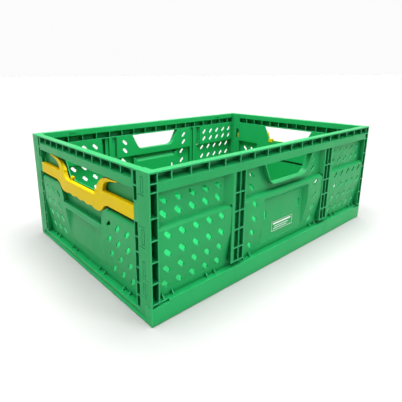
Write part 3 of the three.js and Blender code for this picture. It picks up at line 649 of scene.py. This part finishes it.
def short_wall():
    lower = (SHORT_LEDGE, SHORT_KNEE, SHORT_TOE, SHORT_BOTTOM)
    wall = prism(bulge_outline(*lower), "x", -SHORT_HALF, SHORT_HALF)
    cut(wall, [prism(bulge_core(*lower), "x", 2 - SHORT_HALF, SHORT_HALF - 2)])
    unite([
        wall,
        prism(beam_outline(), "x", -SHORT_HALF, SHORT_HALF),
        block(-SHORT_HALF, SHORT_HALF, BACK, DEPTH, SHORT_LEDGE - SKIN, BEAM_BOTTOM + 1),
        *pocket_ribs(*SHORT_POCKETS),
        *both(lambda sign: [
            half_block(sign, SHORT_HALF - 2, SHORT_HALF, 0, DEPTH, BEAM_BOTTOM, HEIGHT - 1)
        ]),
        *knuckles(SHORT_HINGES, SHORT_AXIS),
    ])
    finger_pocket(wall)
    sunk_field(wall)
    return cut(wall, [
        prism(hole_outline(0, BEAM_BOTTOM), "y", -OVER, DEPTH + OVER),
        *vent_slots(SHORT_COLUMNS, SHORT_ROWS),
    ])


# ---------- latch handle ----------
def smooth_line(points, steps):
    """A Catmull-Rom line through points, with steps pieces between each two."""
    line = []
    for i in range(len(points) - 1):
        p = [Vector(points[min(max(i + k, 0), len(points) - 1)]) for k in (-1, 0, 1, 2)]
        for step in range(steps):
            t = step / steps
            line.append(tuple(0.5 * (
                2 * p[1] + (p[2] - p[0]) * t + (2 * p[0] - 5 * p[1] + 4 * p[2] - p[3]) * t * t
                + (3 * p[1] - p[0] - 3 * p[2] + p[3]) * t ** 3
            )))
    return [*line, tuple(points[-1])]


def handle_half():
    """The handle's outline from the middle outwards and back over the top."""
    under = [(x, GRIP_BOTTOM + 2.4 * math.sin(math.pi * x / 26) ** 2) for x in range(0, 53, 2)]
    bend = smooth_line([
        (54, GRIP_BOTTOM), (62, GRIP_BOTTOM), (70, GRIP_BOTTOM + 2), (77, GRIP_BOTTOM + 7),
        (82, BAR_BOTTOM - 4), (90, BAR_BOTTOM - 0.6), (97, BAR_BOTTOM),
    ], 4)
    over = smooth_line([
        (98, BAR_TOP), (91, BAR_TOP - 0.3), (85.5, BAR_TOP - 0.4), (BOSS_OUTER + 8, BOSS_TOP + 2.4),
    ], 4)
    neck = smooth_line([
        (BOSS_INNER - 5, BOSS_TOP + 2), (57.5, BOSS_TOP - 4), (53.5, GRIP_TOP + 1.4),
        (47, GRIP_TOP),
    ], 4)
    end = [(SHORT_HALF, BAR_BOTTOM), (SHORT_HALF, BAR_TOP)]
    boss = [(BOSS_OUTER + 3, BOSS_TOP - 1), (BOSS_INNER + 1, BOSS_TOP - 1)]
    return [*under, *bend, *end, *over, *boss, *neck]


def latch_handle():
    half = handle_half()
    outline = [*half, *[(-x, z) for x, z in half[:0:-1]]]
    handle = prism(outline, "y", BAR_FRONT, BAR_BACK)
    round_edges(handle, 1.5, 4, 40)

    extra = both(lambda sign: [
        half_block(sign, SHORT_HALF - 2, TONGUE_END, *TONGUE_DEPTHS, TONGUE_BOTTOM, TONGUE_TOP),
        half_block(sign, *HOOK, BAR_BACK - 2, DEPTH + 1, HOOK_BOTTOM, HOOK_TOP),
        half_block(sign, *HOOK, BAR_BACK - 2, BAR_BACK, GRIP_TOP - 2, HOOK_TOP),
        half_block(sign, *HOOK_HEAD, *HOOK_HEAD_DEPTHS, HOOK_HEAD_BOTTOM, HOOK_TOP),
    ])
    for solid in extra:
        round_edges(solid, 0.35)
    return unite([handle, *extra])


def spring_arm(sign):
    """A curved leaf from the handle's boss to under the beam, thinner towards its tip."""
    line = smooth_line([
        (69.5, BOSS_TOP + 1), (72.5, 168), (79, 175.6), (89, 180.8), (100, 182.8), (111, 183.8),
        (120.5, 184.9),
    ], 5)
    left, right = [], []
    for i, point in enumerate(line):
        before, after = line[max(i - 1, 0)], line[min(i + 1, len(line) - 1)]
        along = (Vector(after) - Vector(before)).normalized()
        share = i / (len(line) - 1)
        half = 8.2 * (1 - share) ** 3.2 + 2.4 * (1 - share) + 1.1
        across = Vector((-along.y, along.x)) * half
        low = Vector(point) - across
        high = Vector(point) + across
        left.append((high.x, min(high.y, BEAM_BOTTOM - GAP)))
        right.append((low.x, low.y))
    left[0], right[0] = (BOSS_INNER - 5, BOSS_TOP - 2), (BOSS_OUTER + 8, BOSS_TOP - 2)
    arm = prism(flipped([*right, *left[::-1]], sign), "y", BAR_FRONT + 1, BAR_BACK - 0.8)
    round_edges(arm, 0.8, 3, 40)
    return arm


# ---------- base tray ----------
def base_side_parts(hinges, axis, rim, rise):
    parts = []
    for sign in (1, -1):
        for x in hinges:
            parts += hinge_lugs(sign * x, axis)
            parts += [gusset(sign * (x + spread), rim, rise) for spread in GUSSETS]
    return parts


def long_rim():
    section = [
        (0, 0.8), (0.8, 0), (SKIN, 0), (SKIN, LONG_RIM - SKIN),
        (RIM_DEPTH - SKIN, LONG_RIM - SKIN), (RIM_DEPTH - SKIN, FLOOR_BOTTOM),
        (RIM_DEPTH, FLOOR_BOTTOM), (RIM_DEPTH, LONG_RIM), (0, LONG_RIM),
    ]
    half = LENGTH / 2
    over_top = (BLOCK_HEIGHT, LONG_RIM + OVER)
    rim = prism(section, "x", -half, half)
    cut(rim, both(lambda sign: [
        half_block(sign, PANEL_END - 1, half + OVER, -OVER, DEPTH + OVER, *over_top),
        half_block(sign, NOTCH_INNER, PANEL_END, -OVER, NOTCH_DEPTH, *over_top),
    ]))
    unite([
        rim,
        block(-half, half, 0.2, RIM_DEPTH, BLOCK_HEIGHT - SKIN, BLOCK_HEIGHT),
        *both(lambda sign: [
            half_block(sign, half - SKIN, half, 0, BLOCK_DEPTH, 0, BLOCK_HEIGHT),
            half_block(
                sign, half - RIM_DEPTH, half, BLOCK_DEPTH - SKIN, BLOCK_DEPTH, 0, SHORT_RIM
            ),
        ]),
        *base_side_parts(LONG_HINGES, LONG_AXIS, LONG_RIM, LONG_GUSSET),
    ])
    return cut(rim, both(lambda sign: [
        half_block(sign, *SEAM, -OVER, SEAM_DEPTH, -OVER, LONG_RIM + OVER)
    ]))


def short_rim():
    end = WIDTH / 2 - BLOCK_DEPTH + 1
    section = [
        (0, 0), (2.6, 0), (4.8, 3.4), (4.8, SHORT_RIM - SKIN),
        (RIM_DEPTH - SKIN, SHORT_RIM - SKIN), (RIM_DEPTH - SKIN, FLOOR_BOTTOM),
        (RIM_DEPTH, FLOOR_BOTTOM), (RIM_DEPTH, SHORT_RIM),
        (0, SHORT_RIM), (0, SHORT_RIM - 2), (2.4, SHORT_RIM - 4), (2.4, 4.4), (0, 2.4),
    ]
    return unite([
        prism(section, "x", -end, end),
        *base_side_parts(SHORT_HINGES, SHORT_AXIS, SHORT_RIM, SHORT_GUSSET),
    ])


def crossed(pitch, half, half_x, half_y, count_x, count_y, z0, z1):
    """Bars along y and then along x, each 2 x half wide, with count to each side of the middle."""
    along_y = [
        block(pitch * i - half, pitch * i + half, -half_y, half_y, z0, z1)
        for i in range(-count_x, count_x + 1)
    ]
    along_x = [
        block(-half_x, half_x, pitch * i - half, pitch * i + half, z0, z1)
        for i in range(-count_y, count_y + 1)
    ]
    return along_y + along_x


def base_tray():
    half_x, half_y = LENGTH / 2 - RIM_DEPTH + 0.5, WIDTH / 2 - RIM_DEPTH + 0.5
    inner_x, inner_y = half_x - FOOT_WIDTH, half_y - FOOT_WIDTH
    foot = block(-half_x, half_x, -half_y, half_y, 0, FLOOR_BOTTOM + 1)
    cut(foot, [block(-inner_x, inner_x, -inner_y, inner_y, -OVER, FLOOR_BOTTOM + 2)])
    sides = []
    for side in ("front", "back", "left", "right"):
        rim = long_rim() if side in ("front", "back") else short_rim()
        rim.data.transform(side_matrix(side))
        sides.append(rim)
    tray = unite([
        block(-half_x, half_x, -half_y, half_y, FLOOR_BOTTOM, FLOOR_TOP),
        foot,
        *crossed(RIB_PITCH, RIB_HALF, half_x, half_y, 2, 1, 0, FLOOR_BOTTOM + 1),
        *sides,
    ])
    return cut(tray, crossed(
        LINE_PITCH, LINE_HALF, LINE_X, LINE_Y, 5, 3, FLOOR_TOP - LINE_DEPTH, FLOOR_TOP + OVER
    ))


# ---------- materials ----------
# In metres, as the pieces are by then.
# Among these: the radius of the bevel mask that paints highlight onto edges, with scuff wear.
# Among these: the reach of the occlusion mask that paints shade into hollows.
EDGE_WEAR_AND_HIGHLIGHT_RADIUS, PAINTED_SHADE_REACH, GRIT_DEPTH, SINK_DEPTH = 0.0011, 0.024, 0.0002, 0.0006


def set_range(node, low, high, start, end):
    for key, value in (
        ("From Min", low), ("From Max", high), ("To Min", start), ("To Max", end),
    ):
        node.inputs[key].default_value = value


def moulded(name, color, dark, deep, light, roughness, grain=1.0, gloss=0.2):
    """Injection-moulded plastic: flow marks in its colour, painted shade darkening its nooks, edges
    lightened by painted highlight mixed with scuff wear, fine grain and handling wear."""
    material = bpy.data.materials.new(name)
    material.use_nodes = True
    nodes, links = material.node_tree.nodes, material.node_tree.links
    shader = nodes["Principled BSDF"]

    def add(kind, **values):
        node = nodes.new(kind)
        for key, value in values.items():
            setattr(node, key, value)
        return node

    def noise(scale, detail, rough=0.55):
        node = add("ShaderNodeTexNoise")
        node.inputs["Scale"].default_value = scale
        node.inputs["Detail"].default_value = detail
        node.inputs["Roughness"].default_value = rough
        links.new(place.outputs["Object"], node.inputs["Vector"])
        return node.outputs["Fac"]

    def ramp(source, low, high, start, end):
        node = add("ShaderNodeMapRange", interpolation_type="SMOOTHSTEP")
        set_range(node, low, high, start, end)
        links.new(source, node.inputs["Value"])
        return node.outputs["Result"]

    def blend(factor, first, second):
        node = add("ShaderNodeMix", data_type="RGBA")
        links.new(factor, node.inputs["Factor"])
        for socket, value in ((node.inputs[6], first), (node.inputs[7], second)):
            if isinstance(value, tuple):
                socket.default_value = (*value, 1)
            else:
                links.new(value, socket)
        return node.outputs[2]

    def maths(operation, first, second):
        node = add("ShaderNodeMath", operation=operation)
        for socket, value in zip(node.inputs, (first, second)):
            if isinstance(value, (int, float)):
                socket.default_value = value
            else:
                links.new(value, socket)
        return node.outputs[0]

    place = add("ShaderNodeTexCoord")
    shape = add("ShaderNodeNewGeometry")
    flow = ramp(noise(9, 3), 0.35, 0.7, 0, 1)
    body = blend(maths("MULTIPLY", flow, 0.45), color, dark)
    scuff = ramp(noise(60, 6, 0.7), 0.6, 0.72, 0, 1)
    # Painted highlight: a bevel-normal mask lightens the colour along every rounded edge, scaled by
    # random scuff wear.
    rounded = add("ShaderNodeBevel", samples=4)
    rounded.inputs["Radius"].default_value = EDGE_WEAR_AND_HIGHLIGHT_RADIUS
    turn = add("ShaderNodeVectorMath", operation="DOT_PRODUCT")
    links.new(rounded.outputs["Normal"], turn.inputs[0])
    links.new(shape.outputs["Normal"], turn.inputs[1])
    edge = ramp(turn.outputs["Value"], 0.82, 0.98, 1, 0)
    # Painted shade: an ambient-occlusion mask blends the colour towards deep in hollows and
    # recesses.
    painted_shade_occlusion = add("ShaderNodeAmbientOcclusion", samples=8)
    painted_shade_occlusion.inputs["Distance"].default_value = PAINTED_SHADE_REACH
    shade = ramp(painted_shade_occlusion.outputs["AO"], 0.2, 0.85, 0, 1)
    body = blend(shade, deep, body)
    # The edge mask, partly scuff wear and partly painted highlight, plus a faint random scuff
    # everywhere, blends in the light colour.
    edge_wear_and_highlight = maths("MULTIPLY", edge, maths("ADD", maths("MULTIPLY", scuff, 0.4), 0.55))
    wear_and_highlight_mix = maths("ADD", maths("MULTIPLY", scuff, 0.1), edge_wear_and_highlight)
    links.new(blend(wear_and_highlight_mix, body, light), shader.inputs["Base Color"])

    rub = ramp(noise(22, 4), 0.3, 0.7, roughness - 0.06, roughness + 0.08)
    links.new(maths("ADD", rub, maths("MULTIPLY", scuff, 0.08)), shader.inputs["Roughness"])

    grit = add("ShaderNodeBump")
    grit.inputs["Strength"].default_value = 0.12 * grain
    grit.inputs["Distance"].default_value = GRIT_DEPTH
    links.new(noise(1400, 2), grit.inputs["Height"])
    sink = add("ShaderNodeBump")
    sink.inputs["Strength"].default_value = 0.14 * grain
    sink.inputs["Distance"].default_value = SINK_DEPTH
    links.new(noise(38, 2), sink.inputs["Height"])
    links.new(sink.outputs["Normal"], grit.inputs["Normal"])
    links.new(grit.outputs["Normal"], shader.inputs["Normal"])
    shader.inputs["IOR"].default_value = 1.49
    shader.inputs["Specular IOR Level"].default_value = gloss
    return material


# Each look's deep colour is painted shade for its hollows.
# Each look's light colour is painted highlight on its edges, mixed with scuff wear.
GREEN = moulded(
    "green_plastic", color=(0.010, 0.31, 0.084), dark=(0.008, 0.275, 0.073),
    deep=(0.002, 0.11, 0.025), light=(0.09, 0.74, 0.35), roughness=0.36,
)
BASE_GREEN = moulded(
    "base_green_plastic", color=(0.011, 0.36, 0.098), dark=(0.009, 0.32, 0.086),
    deep=(0.008, 0.27, 0.072), light=(0.09, 0.74, 0.35), roughness=0.38,
)
YELLOW = moulded(
    "yellow_plastic", color=(0.66, 0.48, 0.001), dark=(0.61, 0.42, 0.001),
    deep=(0.45, 0.28, 0.0), light=(0.84, 0.66, 0.02), roughness=0.42, gloss=0.07,
)
LABEL = moulded(
    "white_label", color=(0.80, 0.83, 0.80), dark=(0.74, 0.78, 0.75),
    deep=(0.6, 0.66, 0.6), light=(0.9, 0.92, 0.9), roughness=0.5, grain=0.5,
)


# ---------- pieces ----------
def discard(*sources):
    for source in sources:
        bpy.data.objects.remove(source)


LOOKS = {
    "green_plastic": GREEN,
    "base_green_plastic": BASE_GREEN,
    "yellow_plastic": YELLOW,
    "white_label": LABEL,
}

tray = base_tray()
round_edges(tray, EDGE)
placed(tray, "tray_moulding", "whole", "base", "base_green_plastic", "base_tray")

wall = long_wall()
round_edges(wall, EDGE)
for side in ("front", "back"):
    name = f"long_wall_moulding_{side}"
    placed(wall, name, side, "base", "green_plastic", f"long_wall_{side}")

end_wall = short_wall()
round_edges(end_wall, EDGE)
grip = latch_handle()
for side in ("left", "right"):
    name, body = f"short_wall_moulding_{side}", f"{side}_wall"
    placed(end_wall, name, side, body, "green_plastic", f"short_wall_{side}")
    name, body = f"handle_moulding_{side}", f"{side}_handle"
    placed(grip, name, side, body, "yellow_plastic", f"latch_handle_{side}")
    for letter, sign in (("a", 1), ("b", -1)):
        arm = spring_arm(sign)
        name, node = f"spring_leaf_{side}_{letter}", f"spring_arm_{side}_{letter}"
        leaf = placed(arm, name, side, body, "yellow_plastic", node)
        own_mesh(leaf)
        discard(arm)

# A plain plate with a printed frame and bars, in place of the label's lettering.
label_box = (-LABEL_HALF, LABEL_HALF, LABEL_BOTTOM, LABEL_TOP)
plate_front = BACK - GAP - LABEL_THICK
print_front = plate_front - LABEL_PRINT


def label_block(x0, x1, z0, z1, near=print_front, far=print_front + LABEL_PRINT):
    return block(x0, x1, near, far, z0, z1)


label = label_block(*label_box, plate_front, BACK - GAP)
round_edges(label, 0.12)
placed(label, "label_plate", "front", "base", "green_plastic")
inside = [
    edge + LABEL_FRAME * inwards for edge, inwards in zip(label_box, (1, -1, 1, -1))
]
border = cut(
    label_block(*label_box), [label_block(*inside, print_front - OVER, print_front + OVER)]
)
bars = [label_block(*bar) for bar in LABEL_BARS]
placed(border, "label_border", "front", "base", "white_label", "blank_label")
for count, bar in enumerate(bars):
    placed(bar, f"label_bar_{count}", "front", "base", "white_label")
discard(tray, wall, end_wall, grip, label, border, *bars)


# ---------- studio ----------
def flat_material(name, color, roughness):
    material = bpy.data.materials.new(name)
    material.use_nodes = True
    shader = material.node_tree.nodes["Principled BSDF"]
    shader.inputs["Base Color"].default_value = (*color, 1)
    shader.inputs["Roughness"].default_value = roughness
    return material


bpy.ops.mesh.primitive_plane_add(size=300, location=(0, 0, -0.0005))
floor = bpy.context.object
floor.name = "studio_floor"
floor.data.materials.append(flat_material("studio_floor", (0.46, 0.465, 0.46), 1))

world = bpy.data.worlds.new("studio")
bpy.context.scene.world = world
world.use_nodes = True
nodes, links = world.node_tree.nodes, world.node_tree.links
sky = nodes.new("ShaderNodeTexCoord")
split = nodes.new("ShaderNodeSeparateXYZ")
links.new(sky.outputs["Generated"], split.inputs["Vector"])


def sky_band(low, high, start, end):
    """Brightness that goes from start to end as the direction rises from low to high."""
    band = nodes.new("ShaderNodeMapRange")
    set_range(band, low, high, start, end)
    links.new(split.outputs["Z"], band.inputs["Value"])
    return band.outputs["Result"]


total = nodes.new("ShaderNodeMath")
links.new(sky_band(0.2, 0.35, 0.75, 0), total.inputs[0])
links.new(sky_band(0.6, 0.9, 0.22, 3.2), total.inputs[1])
nodes["Background"].inputs["Color"].default_value = (1, 1, 1, 1)
links.new(total.outputs[0], nodes["Background"].inputs["Strength"])
bpy.context.scene.view_settings.view_transform = "Standard"


def add_light(lamp, towards, place=(0, 0, 0)):
    """Puts a lamp in the scene, shining from the direction towards."""
    light = bpy.data.objects.new(lamp.name, lamp)
    light.location = place
    light.rotation_euler = Vector(towards).to_track_quat("Z", "Y").to_euler()
    bpy.context.scene.collection.objects.link(light)


for name, towards, spread, strength in (
    ("key", (0.45, -0.75, 0.62), 14, 0.7),
    ("top", (-0.1, -0.1, 1), 60, 1.5),
):
    sun = bpy.data.lights.new(name, "SUN")
    sun.angle = math.radians(spread)
    sun.energy = strength
    add_light(sun, towards)

# A softbox over the open top lights the inside.
softbox = bpy.data.lights.new("softbox", "AREA")
softbox.shape = "RECTANGLE"
softbox.size, softbox.size_y = 0.42, 0.28
softbox.energy = 5
add_light(softbox, (-0.2, -0.2, 0.8), (-0.06, -0.04, 0.8))

lens = bpy.data.cameras.new("camera")
lens.sensor_width = 36
lens.lens = 32.142
lens.shift_x = 0.0611
lens.shift_y = -0.0798
lens.clip_start = 0.01
camera = bpy.data.objects.new("camera", lens)
bpy.context.scene.collection.objects.link(camera)
eye, aim = Vector((-0.53621, -0.53535, 0.32620)), Vector((-0.04987, 0.04857, 0.12736))
roll = Matrix.Rotation(math.radians(-0.317), 4, "Z")
turned = (aim - eye).to_track_quat("-Z", "Y").to_matrix().to_4x4() @ roll
camera.matrix_world = Matrix.Translation(eye) @ turned
bpy.context.scene.camera = camera
